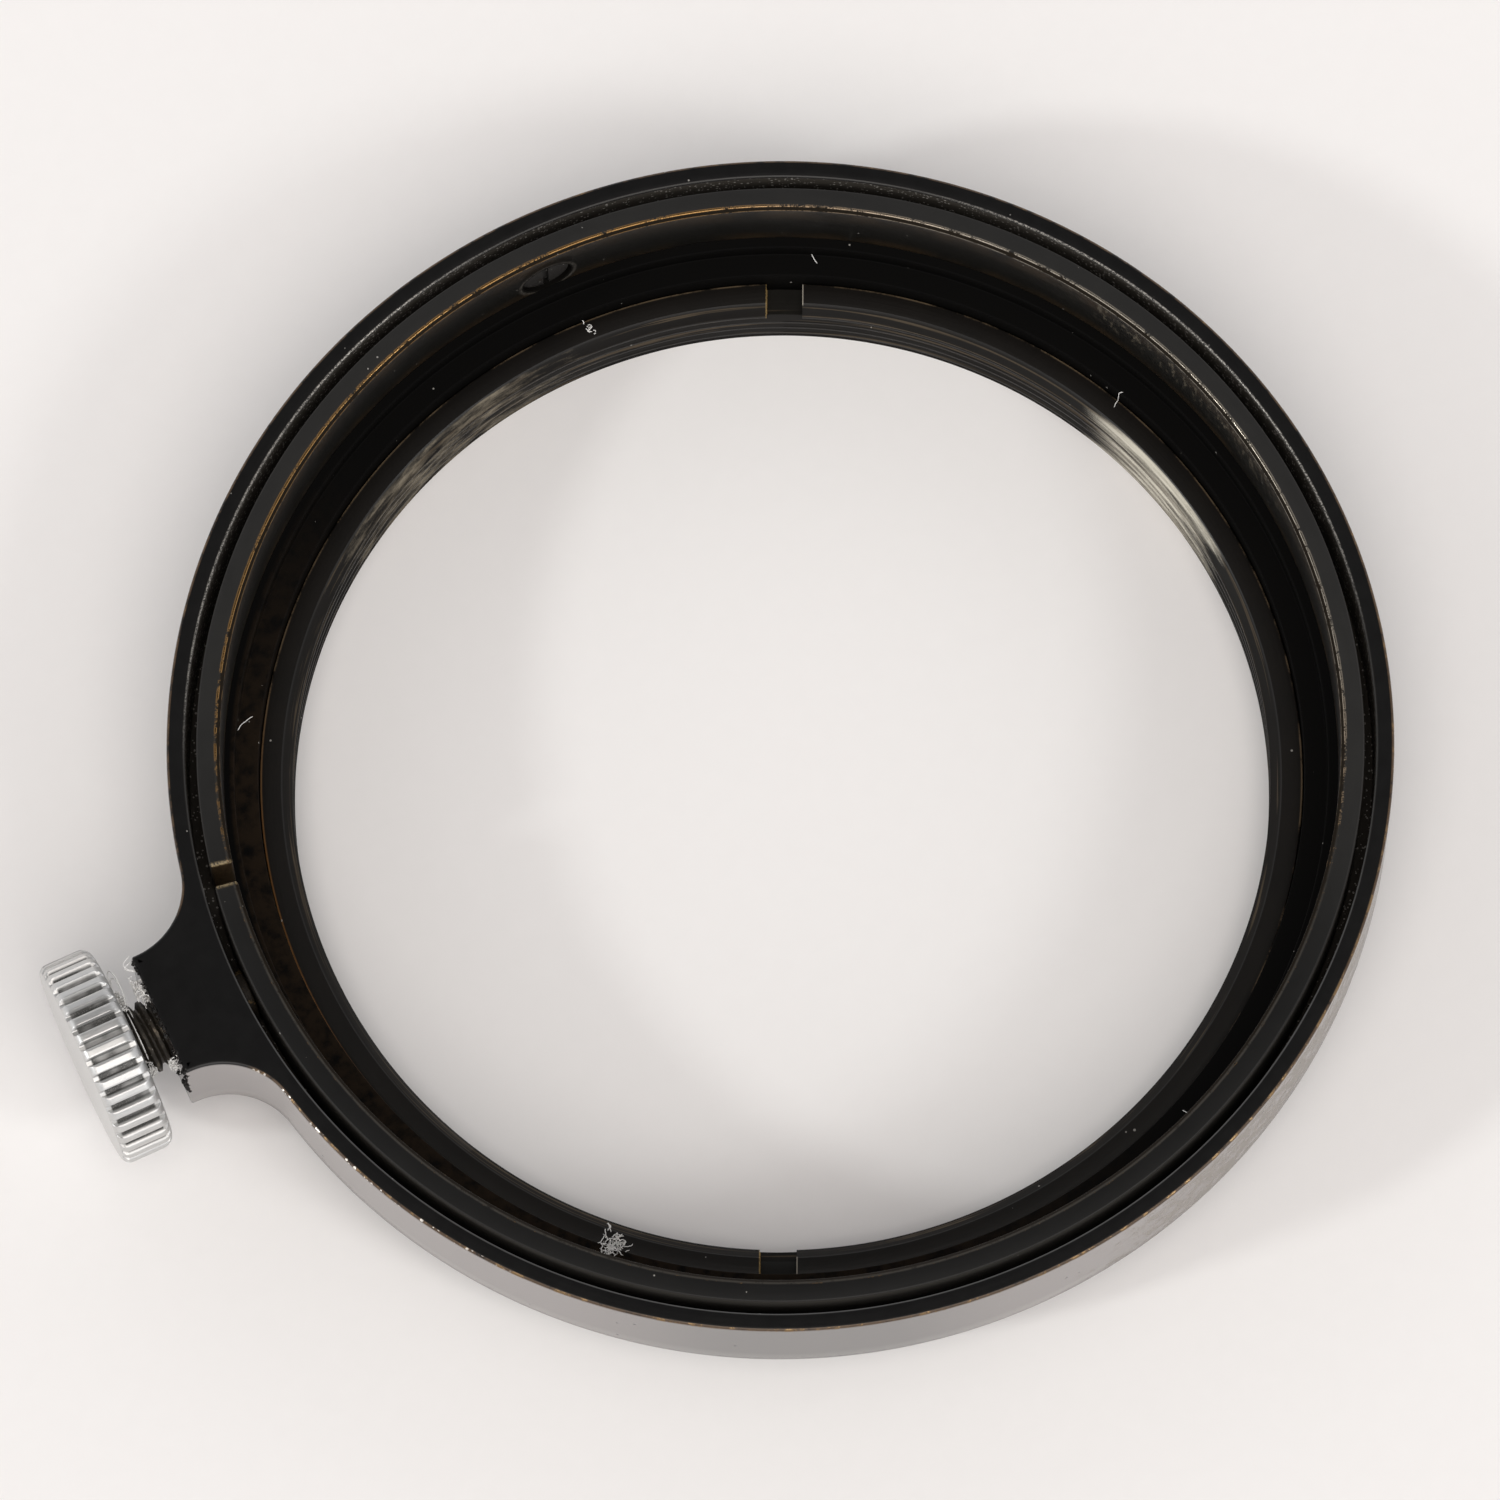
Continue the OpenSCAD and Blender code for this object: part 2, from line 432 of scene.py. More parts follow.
def collar_masks(s):
    """Zones and marks of the collar from 0 to 1: wear, chips with painted glints, pits, pale wall
    patches, dust, painted shade and a painted reflection.
    """
    m = SimpleNamespace()
    wear = s.attribute("wear")
    m.ragged = s.noise(1.3, 6.0, 0.62)
    m.fine = s.noise(14.0, 3.0, 0.6)
    m.near_side = s.facing(250, 50, 85)
    m.upper = s.step(s.z, TOP - 0.12, TOP - 0.05)
    # The groove and bore below the top: the colour darkens them as painted shade.
    m.deep = s.both(s.step(s.r, GROOVE_R + 0.08, GROOVE_R), s.step(s.z, TOP - 0.06, TOP - 0.2))
    m.groove = s.both(m.deep, s.step(s.r, BAND_RO - 0.1, BAND_RO + 0.1))
    m.ledge = s.both(s.within(s.r, ADAPTER_R, STEP_R + 0.2, 0.1), s.facing(205, 40, 90),
                     s.step(m.ragged, 0.3, 0.6))
    groove_edge = s.within(s.r, GROOVE_R, GROOVE_R + 0.1, 0.03)
    m.lip = s.both(groove_edge, s.step(s.z, TOP - 0.12, TOP - 0.04))
    # The groove's bevel at about 18° and 125°: a painted highlight over half-bare metal.
    rubbed_edge = s.either(s.facing(18, 15, 34), s.facing(125, 12, 34))
    m.bevel = s.both(groove_edge, s.step(s.z, TOP - 0.2, TOP - 0.05), rubbed_edge,
                     s.step(m.fine, 0.42, 0.6))
    wall = s.step(s.r, GROOVE_R + 0.3, GROOVE_R + 0.5)
    rim_only = s.step(s.r, COLLAR_R + 0.9, COLLAR_R + 0.3)
    level = s.add(m.ragged, s.both(m.fine, 0.25), s.both(m.near_side, 0.09),
                  s.both(s.facing(-28, 12, 34), 0.07))
    m.worn = s.both(s.step(wear, 0.35, 0.8), s.step(level, 0.73, 0.81), rim_only)
    m.brown = s.both(s.step(wear, 0.1, 0.6), s.step(level, 0.50, 0.66), rim_only)
    # Pale specks of bare metal on the rim, only on the side facing about 200°: chips painted as glints.
    m.chips = s.both(s.step(wear, 0.3, 0.6), s.facing(200, 8, 22), s.specks(5.0, 0.42, 0.4), rim_only)
    m.pits = s.both(s.specks(1.5, 0.11, 0.16), s.step(s.z, TOP - 0.4, TOP - 0.9), wall)
    # Pale brown patches on the wall below its top edge, at about 302°.
    side = s.both(s.facing(-58, 8, 34), s.step(s.z, TOP - 0.2, TOP - 0.6), wall)
    m.scuffs = s.both(s.step(side, 0.0, 0.3), s.step(s.add(m.ragged, s.both(side, 0.3)), 0.60, 0.86))
    # Painted reflection: paler patches on the wall at about 207° and 290°.
    m.rubbed = s.either(s.facing(207, 12, 34), s.facing(290, 16, 36))
    m.dust = s.both(s.either(m.upper, m.deep), s.specks(2.2, 0.10, 0.08))
    m.groove_dust = s.both(m.groove, s.specks(7.0, 0.34, 0.40))
    m.metal = s.either(m.worn, m.chips, s.both(m.bevel, 0.5))
    return m


def collar_colour(s, m):
    return s.coat(s.mix(m.upper, s.mix(m.rubbed, LACQUER, RUBBED), (0.0042, 0.0040, 0.0040)), (
        (m.brown, (0.072, 0.044, 0.024)),
        # Painted shade deep in the groove and bore.
        (m.deep, (0.0012, 0.0010, 0.0008)),
        (m.ledge, (0.013, 0.0080, 0.0042)),
        (m.groove, (0.045, 0.040, 0.034)),
        (m.scuffs, (0.10, 0.075, 0.050)),
        (m.worn, (0.24, 0.16, 0.085)),
        (s.both(m.lip, s.mix(m.fine, 0.2, 0.9)), (0.034, 0.032, 0.029)),
        (s.either(s.both(m.bevel, 0.5), m.chips), (0.72, 0.68, 0.62)),
        (m.pits, (0.004, 0.0035, 0.003)),
        (s.both(s.either(m.dust, m.groove_dust), 0.6), DUST)))


def collar_roughness(s, m):
    streak = s.noise(1.0, 4.0, 0.6, s.turned(3.0))
    return s.coat(s.mix(m.upper, s.mix(streak, 0.07, 0.16), s.mix(m.ragged, 0.26, 0.40)), (
        (s.both(m.scuffs, 0.7), 0.4),
        (m.deep, 0.7),
        (m.metal, 0.3),
        (s.either(m.pits, m.dust, m.groove_dust), 0.85)))


def paint_collar():
    """Black lacquer: glossy on the wall, satin on top, worn at the upper edge, dusty in the groove, with
    painted shade deep in the groove and bore, a painted reflection on the wall and painted glints.
    """
    s = Shade("collar_lacquer")
    m = collar_masks(s)
    gloss = s.mix(s.both(m.lip, m.near_side), s.mix(m.deep, s.mix(m.upper, 1.0, 0.10), 0.02), 0.4)
    marks = s.noise(9.0, 2.0, 0.5, s.turned(20.0))
    height = s.add(s.both(marks, 0.5), s.both(s.noise(5.0, 4.0), 0.5))
    height = s.math("SUBTRACT", height, s.both(s.either(m.pits, m.worn), 0.9))
    return s.set(base_color=collar_colour(s, m), metallic=m.metal, roughness=collar_roughness(s, m),
                 ior=2.2, specular_ior_level=gloss, normal=s.bump(height, 0.006))


def band_recess(s, fine):
    """Inside the anchor screw's recess, painted dark as shade, and the bright edge round it."""
    reach = s.length(s.across(ANCHOR_A), s.math("SUBTRACT", s.z, SCREW_Z))
    here = s.facing(ANCHOR_A, 5, 8)
    inside = s.both(s.step(reach, RECESS_R + 0.04, RECESS_R - 0.02), here)
    edge = s.both(s.within(reach, RECESS_R - 0.02, RECESS_R + 0.16, 0.05), here, s.step(fine, 0.3, 0.6))
    return inside, edge


def band_masks(s):
    """Zones of the band, and where it is worn, stained, streaked or dusty, from 0 to 1, with the near
    side whose top is painted darker.
    """
    m = SimpleNamespace()
    wear = s.attribute("wear")
    m.streak = s.noise(2.4, 5.0, 0.65, s.turned(4.0))
    m.blotch = s.noise(0.45, 4.0, 0.6)
    m.fine = s.noise(12.0, 3.0, 0.6)
    m.upper = s.step(s.z, TOP - 0.05, TOP - 0.01)
    far = s.either(s.facing(85, 50, 95), s.facing(15, 30, 60))
    m.near = s.math("SUBTRACT", 1.0, s.either(s.facing(85, 60, 100), s.facing(15, 40, 70)))
    level = s.add(s.noise(1.6, 6.0, 0.65), s.both(m.fine, 0.5), s.both(far, 0.22))
    at_edge = s.step(s.z, TOP - 0.24, TOP - 0.2)
    m.worn = s.both(s.step(wear, 0.5, 0.85), s.step(level, 0.83, 1.0), at_edge)
    m.hairline = s.both(s.step(wear, 0.5, 0.9), m.near, s.step(level, 0.50, 0.72), at_edge)
    m.slope = s.both(s.within(s.r, BAND_RI - 0.01, BAND_RI + CHAMFER + 0.02, 0.01),
                     s.step(s.z, TOP - 0.22, TOP - 0.16))
    inner = s.both(s.step(s.r, BAND_RI + 0.1, BAND_RI + 0.02), s.step(s.z, TOP - 0.18, TOP - 0.3))
    tide = s.either(s.step(s.z, TOP - 1.9, TOP - 0.4), s.step(s.z, BAND_Z + 1.1, BAND_Z + 0.2))
    m.tide = s.both(inner, tide, s.step(m.blotch, 0.3, 0.65))
    hairs = s.noise(3.0, 4.0, 0.7, s.stretched((1.0, 1.0, 0.35)))
    # Pale vertical streaks on the inner wall at about 17°.
    m.scuff = s.both(inner, s.facing(17, 6, 20), s.step(hairs, 0.52, 0.66),
                     s.step(s.z, TOP - 3.2, TOP - 1.2))
    m.end = s.both(s.facing(GAP_A, 1.02, 1.5), s.step(m.fine, 0.35, 0.55))
    m.end_lip = s.both(m.end, s.step(s.z, TOP - 0.16, TOP - 0.06))
    m.dust = s.specks(3.0, 0.12, 0.04)
    m.outside = s.both(s.step(s.r, BAND_RO - 0.06, BAND_RO - 0.02), s.step(s.z, TOP - 0.02, TOP - 0.1))
    m.corner = s.both(s.step(s.r, BAND_RO - 0.1, BAND_RO - 0.03), s.step(s.z, TOP - 0.12, TOP - 0.05))
    m.recess, m.recess_edge = band_recess(s, m.fine)
    return m


def band_colour(s, m):
    # Painted light: the band's top is lighter on the far side and darker on the near side.
    far_top = s.mix(m.blotch, (0.0100, 0.0096, 0.0092), (0.0170, 0.0160, 0.0145))
    near_top = s.mix(m.blotch, (0.0035, 0.0034, 0.0033), (0.0075, 0.0072, 0.0068))
    return s.coat(s.mix(m.upper, (0.0052, 0.0047, 0.0038), s.mix(m.near, far_top, near_top)), (
        (m.tide, (0.022, 0.014, 0.007)),
        (m.scuff, (0.10, 0.085, 0.062)),
        (s.both(m.slope, 0.8), (0.014, 0.010, 0.006)),
        (s.both(m.end, 0.8), (0.050, 0.031, 0.015)),
        (m.end_lip, (0.26, 0.20, 0.11)),
        # Brass where the chamfer's edge is worn, paler at about 15° as a painted highlight.
        (m.worn, s.mix(s.facing(15, 25, 60), (0.42, 0.24, 0.09), (0.46, 0.41, 0.34))),
        (m.hairline, (0.040, 0.036, 0.031)),
        # Faint grey line along the outer top corner: a painted highlight.
        (s.both(m.corner, s.mix(m.fine, 0.2, 1.0)), (0.030, 0.028, 0.026)),
        (m.outside, (0.040, 0.036, 0.031)),
        # Painted shade inside the anchor screw's recess.
        (m.recess, (0.0035, 0.0030, 0.0024)),
        (s.both(m.recess_edge, 0.7), (0.070, 0.064, 0.055)),
        (s.both(m.dust, 0.6), DUST)))


def paint_band():
    """Matt dark grey lacquer with turning marks, worn through along the chamfer's two edges, its top
    painted lighter on the far side than the near side, a painted highlight on the worn edge at about 15°
    and painted shade in the anchor screw's recess.
    """
    s = Shade("band_lacquer")
    m = band_masks(s)
    rough = s.coat(s.mix(m.upper, s.mix(m.streak, 0.26, 0.42), s.mix(m.streak, 0.40, 0.56)), (
        (m.worn, 0.26),
        (s.either(m.recess, m.outside), 0.8)))
    gloss = s.mix(s.either(m.recess, m.slope), s.mix(m.upper, 0.30, s.mix(m.near, 0.32, 0.20)), 0.05)
    height = s.add(s.both(s.noise(8.0, 3.0, 0.6, s.turned(25.0)), 0.6), s.both(m.fine, 0.3))
    return s.set(base_color=band_colour(s, m), metallic=m.worn, roughness=rough, ior=1.5,
                 specular_ior_level=gloss, normal=s.bump(height, 0.005))


def adapter_masks(s):
    """Zones of the adapter ring, and where it is worn to metal, scratched, stained or dusty, from 0 to 1;
    the thread's wear sits where the light glints, and one edge of the slots gets a painted highlight.
    """
    m = SimpleNamespace()
    m.streak = s.noise(3.6, 5.0, 0.65, s.turned(9.0))
    m.lines = s.noise(5.0, 3.0, 0.6, s.turned(40.0))
    m.fine = s.noise(14.0, 3.0, 0.6)
    m.blotch = s.noise(0.5, 5.0, 0.6)
    m.thread = s.step(s.r, THREAD_R + 0.52, THREAD_R + 0.44)
    m.cone = s.both(m.thread, s.step(s.z, ADAPTER_H - 0.5, ADAPTER_H - 0.4))
    # lit: where the light glints on the thread; the metal showing through is placed there, so it is
    # partly wear and partly painted glare.
    lit = s.either(s.facing(14, 3, 17), s.both(s.facing(110, 8, 28), 0.74))
    wear_level = s.add(s.both(lit, 0.34), s.both(m.streak, 0.6), s.both(m.fine, 0.1))
    m.bare = s.both(m.thread, s.step(wear_level, 0.52, 0.76))
    m.scratch = s.both(m.thread, s.step(m.lines, 0.56, 0.66))
    rim_level = s.add(m.blotch, s.both(m.fine, 0.3), s.mix(s.facing(208, 34, 80), -0.07, 0.14))
    m.rim = s.both(s.step(s.r, ADAPTER_R - 0.13, ADAPTER_R - 0.04),
                   s.step(s.z, ADAPTER_H - 0.2, ADAPTER_H - 0.06), s.step(rim_level, 0.50, 0.68))
    across, half = s.across(SLOT_A), SLOT_W / 2
    m.slot = s.both(s.step(s.math("ABSOLUTE", across), half + 0.05, half - 0.02),
                    s.step(s.z, ADAPTER_H - SLOT_DEPTH - 0.1, ADAPTER_H - SLOT_DEPTH + 0.02))
    m.slot_wall = s.both(m.slot, s.step(across, half - 0.05, half - 0.01), s.step(m.fine, 0.3, 0.55))
    # Painted highlight: a pale line along one upper edge of each slot.
    m.slot_edge = s.both(s.within(across, -half - 0.05, -half + 0.02, 0.02),
                         s.step(s.z, ADAPTER_H - 0.12, ADAPTER_H))
    m.dust = s.specks(2.4, 0.14, 0.035)
    return m


def adapter_colour(s, m):
    brass_rim = s.mix(s.facing(190, 20, 50), (0.16, 0.115, 0.07), (0.22, 0.105, 0.035))
    # pale: a painted glare on the worn thread at about 13°.
    pale = s.mix(s.facing(13, 10, 24), (0.30, 0.26, 0.20), (0.66, 0.62, 0.53))
    return s.coat(s.mix(m.blotch, (0.0040, 0.0036, 0.0032), (0.0085, 0.0066, 0.0050)), (
        (m.slot, (0.0070, 0.0062, 0.0046)),
        (m.slot_wall, (0.62, 0.42, 0.17)),
        (s.both(m.slot_edge, 0.6), (0.5, 0.45, 0.38)),
        (s.both(m.rim, 0.8), brass_rim),
        (s.both(m.scratch, s.mix(m.blotch, 0.2, 0.8)), (0.12, 0.092, 0.062)),
        (m.bare, s.mix(m.streak, (0.10, 0.08, 0.055), pale)),
        (s.both(m.dust, 0.6), DUST)))


def paint_adapter():
    """Matt black lacquer, orange-brown at the rim, metal showing through the thread with a painted glare,
    and a painted highlight along one edge of the slots.
    """
    s = Shade("adapter_lacquer")
    m = adapter_masks(s)
    rough = s.mix(m.bare, s.mix(m.fine, 0.30, 0.46), s.mix(m.streak, 0.30, 0.5))
    rough = s.mix(m.thread, rough, s.add(rough, 0.1))
    metal = s.either(m.bare, s.both(m.slot_wall, 0.8), s.both(m.scratch, 0.4))
    height = s.add(s.both(s.noise(9.0, 3.0, 0.6, s.turned(30.0)), 0.7), s.both(m.fine, 0.3),
                   s.both(m.cone, m.lines, 0.8))
    return s.set(base_color=adapter_colour(s, m), metallic=metal, roughness=rough, ior=1.5,
                 specular_ior_level=s.mix(m.thread, 0.30, 0.16), normal=s.bump(height, 0.008))


def paint_head():
    """Dulled nickel: pale ridges, dark speckled roots, fine scratches along the knurl."""
    s = Shade("dulled_nickel")
    root = s.attribute("root")
    fine = s.noise(10.0, 4.0, 0.65)
    along = s.noise(7.0, 4.0, 0.6, s.stretched((0.25, 2.0, 2.0)))
    lengthwise = s.within(s.x, HEAD_X0 + 0.30, HEAD_X1 - 0.40, 0.05)
    patchy = s.mix(s.step(s.noise(0.55, 2.0), 0.34, 0.52), 0.55, 1.0)
    dirt = s.both(s.step(root, 0.25, 0.75), s.step(fine, 0.18, 0.34), lengthwise, patchy)
    grain = s.step(s.noise(16.0, 3.0, 0.7), 0.52, 0.66)
    colour = s.mix(along, (0.50, 0.50, 0.495), (0.72, 0.715, 0.70))
    colour = s.mix(dirt, colour, (0.070, 0.069, 0.066))
    colour = s.mix(s.both(dirt, grain), colour, (0.24, 0.235, 0.225))
    rough = s.mix(dirt, s.mix(along, 0.34, 0.50), 0.6)
    metal = s.mix(dirt, 0.85, 0.35)
    height = s.add(s.both(along, 0.6), s.both(fine, 0.4))
    return s.set(base_color=colour, metallic=metal, roughness=rough, normal=s.bump(height, 0.008))


def paint_steel(name, light, dark, dirt_level):
    """Dirty turned metal: light, with dark blotches of dirt and specks of dust."""
    s = Shade(name)
    fine = s.noise(7.0, 5.0, 0.65)
    blotch = s.noise(1.6, 4.0, 0.6)
    dirt = s.step(s.add(blotch, s.both(fine, 0.5)), dirt_level, dirt_level + 0.25)
    colour = s.mix(dirt, light, dark)
    colour = s.mix(s.both(s.specks(6.0, 0.25, 0.12), 0.6), colour, DUST)
    return s.set(base_color=colour, metallic=s.mix(dirt, 0.9, 0.1), roughness=s.mix(dirt, 0.34, 0.62),
                 normal=s.bump(fine, 0.014))


def paint_lint():
    """White fluff."""
    s = Shade("lint")
    fine = s.noise(20.0, 2.0)
    return s.set(base_color=s.mix(fine, (0.82, 0.80, 0.77), (0.94, 0.93, 0.91)), roughness=0.9)


def paint_floor():
    """Matt white sweep paper with a very faint tooth."""
    s = Shade("sweep_paper")
    tooth = s.noise(0.8, 3.0)
    return s.set(base_color=s.mix(tooth, (0.885, 0.862, 0.850), (0.905, 0.882, 0.870)), roughness=0.85,
                 specular_ior_level=0.15, normal=s.bump(tooth, 0.01))


# ---- the collar


def boss_half_outline():
    """Half of the collar's outline from angle 0 to the boss's middle: x, y and the normal's x, y."""
    centre_y = BOSS_HALF + BOSS_BLEND
    centre_x = -math.sqrt((COLLAR_R + BOSS_BLEND) ** 2 - centre_y**2)
    root = math.degrees(math.atan2(centre_y, centre_x))
    out = []
    for a in np.linspace(0, root, 300):
        c, s = unit(a)
        out.append((COLLAR_R * c, COLLAR_R * s, c, s))
    for a in np.linspace(root - 180, -90, 28)[1:]:
        c, s = unit(a)
        out.append((centre_x + BOSS_BLEND * c, centre_y + BOSS_BLEND * s, -c, -s))
    corner = BOSS_CORNER
    for a in np.linspace(90, 180, 6):
        c, s = unit(a)
        out.append((-BOSS_R + corner + corner * c, BOSS_HALF - corner + corner * s, c, s))
    for y in np.linspace(BOSS_HALF - corner, 0, 10)[1:]:
        out.append((-BOSS_R, y, -1.0, 0.0))
    return out


def collar_outer_profile():
    """The collar's section from its foot up the wall and over the top, as (inset, height, wear)."""
    edge, soft = 0.15, 0.16
    foot_round = [(soft * (1 - math.sin(t)), FOOT + soft * (1 - math.cos(t)), 0.2)
                  for t in np.linspace(0, math.pi / 2, 4)]
    wall = [(0.0, FOOT + COLLAR_H * k, 0.0) for k in (0.25, 0.5, 0.75, 0.88)]
    wall += [(0.0, TOP - edge - 0.1, 0.0)]
    top_round = [(edge * (1 - math.cos(t)), TOP - edge * (1 - math.sin(t)), math.sin(2 * t) ** 0.5)
                 for t in np.linspace(0, math.pi / 2, 6)]
    return foot_round + wall + top_round + [(edge + 0.08, TOP, 0.0), (edge + 0.3, TOP, 0.0)]


def collar_inner_profile():
    """The collar's section from its top down the groove and bore to its foot, as (r, z)."""
    bore_r, spigot_r, floor_z = ADAPTER_R + 0.05, SPIGOT_R + 0.06, BAND_Z - 0.05
    return rounded([
        (GROOVE_R + 1, TOP, 0), (GROOVE_R, TOP, 0.1), (GROOVE_R, floor_z, 0.05), (STEP_R, floor_z, 0.08),
        (STEP_R, LEDGE_Z, 0.06), (bore_r, LEDGE_Z, 0.06), (bore_r, SPIGOT_H, 0), (spigot_r, SPIGOT_H, 0),
        (spigot_r, 0, 0.12), (NECK_R, 0, 0.3), (NECK_R, FOOT, 0.15), (NECK_R + 1, FOOT, 0)], 4)[1:-1]


def inset_point(x, y, nx, ny, inset):
    """A point of the outline moved inwards, held inside the boss's corners."""
    px, py = x - nx * inset, y - ny * inset
    if x < BOSS_CORNER_X:
        px = max(px, -BOSS_R + inset) if inset > BOSS_CORNER else px
        py = np.sign(y) * min(abs(py), BOSS_HALF - inset)
        if inset > BOSS_CORNER and abs(y) > BOSS_HALF - BOSS_CORNER:
            px, py = -BOSS_R + inset, np.sign(y) * (BOSS_HALF - inset)
    return px, py


def build_collar():
    """The collar with its boss, swept round the outline, and the bore for the thumbscrew."""
    half = boss_half_outline()
    outline = np.array(half + [(x, -y, nx, -ny) for x, y, nx, ny in reversed(half[1:-1])])
    outer, inner = collar_outer_profile(), collar_inner_profile()
    points = np.zeros((len(outline), len(outer) + len(inner), 3))
    for i, (x, y, nx, ny) in enumerate(outline):
        c, s = np.array([x, y]) / math.hypot(x, y)
        for j, (inset, z, _) in enumerate(outer):
            points[i, j] = (*inset_point(x, y, nx, ny, inset), z)
        for j, (r, z) in enumerate(inner):
            points[i, len(outer) + j] = (r * c, r * s, z)
    wear = [w for _, _, w in outer] + [0.0] * len(inner)
    vertices, faces = grid(points, True, True)
    obj = mesh_object("collar_shell", vertices, faces, 32, {"wear": np.tile(wear, len(outline))})
    hole, depth = SHANK_R + 0.05, BOSS_R - GROOVE_R + 1
    bore = spindle("bore_cutter", np.array([
        (0, -1), (hole + 1.25, -1), (hole + 0.25, 0), (hole, 0.25), (hole, depth), (0, depth)]), 96)
    cut(obj, along_x(bore, -BOSS_R))
    return obj


# ---- the clamp band


def band_profile():
    """The band's section as (r, z), with its chamfer on the inner upper corner."""
    return rounded([
        (BAND_RI, BAND_Z, 0.06), (BAND_RO, BAND_Z, 0.06), (BAND_RO, TOP - 0.5, 0), (BAND_RO, TOP, 0.08),
        (BAND_RI + CHAMFER + 0.25, TOP, 0), (BAND_RI + CHAMFER, TOP, 0.035),
        (BAND_RI + CHAMFER * 0.66, TOP - CHAMFER * 0.34, 0),
        (BAND_RI + CHAMFER * 0.34, TOP - CHAMFER * 0.66, 0),
        (BAND_RI, TOP - CHAMFER, 0.035), (BAND_RI, TOP - CHAMFER - 0.25, 0)], 3)


def build_band(name, start, end, round_start, round_end):
    """An arc of the band from start to end in degrees, with soft corners at a free end."""
    profile = band_profile()
    low, high = profile.min(0), profile.max(0)
    angles = list(np.linspace(start, end, max(2, int(abs(end - start) / 0.5))))
    insets = [0.0] * len(angles)
    soft = 0.16
    reach = math.degrees(soft / BAND_RI)
    arc = [(soft * (1 - math.cos(t)), reach * (1 - math.sin(t)))
           for t in np.linspace(0, math.pi / 2, 6)]
    way = 1 if end > start else -1
    if round_end:
        angles = [a for a in angles if abs(a - end) > reach] + [end - way * g for _, g in arc]
        insets = insets[:len(angles) - len(arc)] + [d for d, _ in arc]
    if round_start:
        kept = [(a, d) for a, d in zip(angles, insets) if abs(a - start) > reach]
        opening = [(start + way * g, d) for d, g in reversed(arc)]
        angles = [a for a, _ in opening + kept]
        insets = [d for _, d in opening + kept]
    points = revolve(profile, angles)
    for i, inset in enumerate(insets):
        if inset:
            r = np.clip(profile[:, 0], low[0] + inset, high[0] - inset)
            z = np.clip(profile[:, 1], low[1] + inset, high[1] - inset)
            points[i] = revolve(np.stack([r, z], 1), [angles[i]])[0]
    rows, columns = points.shape[:2]
    vertices, faces = grid(points, False, True)
    faces.append(tuple(range(columns)))
    faces.append(tuple(range((rows - 1) * columns, rows * columns)))
    upper_edge = (abs(profile[:, 0] - BAND_RI - CHAMFER) < 0.04) & (profile[:, 1] > TOP - 0.04)
    lower_edge = (profile[:, 0] < BAND_RI + 0.04) & (abs(profile[:, 1] - TOP + CHAMFER) < 0.04)
    outer = (profile[:, 0] > BAND_RO - 0.09) & (profile[:, 1] > TOP - 0.09)
    wear = upper_edge * 1.0 + lower_edge * 0.68 + outer * 0.2
    return mesh_object(name, vertices, faces, 40, {"wear": np.tile(wear, rows)})


# ---- small parts


def build_anchor():
    """Countersunk screw that ties the band to the collar."""
    length = anchor_hi.y - anchor_lo.y
    profile = rounded([(0, 0, 0), (ANCHOR_HEAD_R, 0, 0.03), (ANCHOR_HEAD_R, 0.05, 0),
                       (ANCHOR_SHANK_R, ANCHOR_HEAD_H, 0), (ANCHOR_SHANK_R, length - 0.1, 0),
                       (ANCHOR_SHANK_R - 0.1, length, 0), (0, length, 0)], 3)
    obj = spindle("band_anchor_screw", profile, 64)
    cut(obj, box_object("slot_cutter", (-2, -0.15, -1), (2, 0.15, 0.2)))
    obj.data.transform(Matrix.Translation((0, 0, anchor_lo.y * MM)))
    return radial(obj, ANCHOR_A)


def cut_anchor_recess(band):
    """Sinks the anchor screw's countersunk seat and hole into the band."""
    seat_r, hole_r = ANCHOR_HEAD_R + 0.05, ANCHOR_SHANK_R + 0.05
    cutter = spindle("recess_cutter", np.array([
        (0, -2), (RECESS_R, -2), (RECESS_R, -0.08), (seat_r, 0.02), (seat_r, RECESS_DEPTH + 0.05),
        (hole_r, RECESS_DEPTH + 0.5), (hole_r, 3), (0, 3)]), 64)
    cutter.data.transform(Matrix.Translation((0, 0, BAND_RI * MM)))
    cut(band, radial(cutter, ANCHOR_A), sharp=40)


def box_object(name, low, high):
    """A plain box, used as a cutter."""
    corners = [(x, y, z) for x in (low[0], high[0]) for y in (low[1], high[1]) for z in (low[2], high[2])]
    faces = [(0, 1, 3, 2), (4, 6, 7, 5), (0, 4, 5, 1), (2, 3, 7, 6), (0, 2, 6, 4), (1, 5, 7, 3)]
    return mesh_object(name, corners, faces)


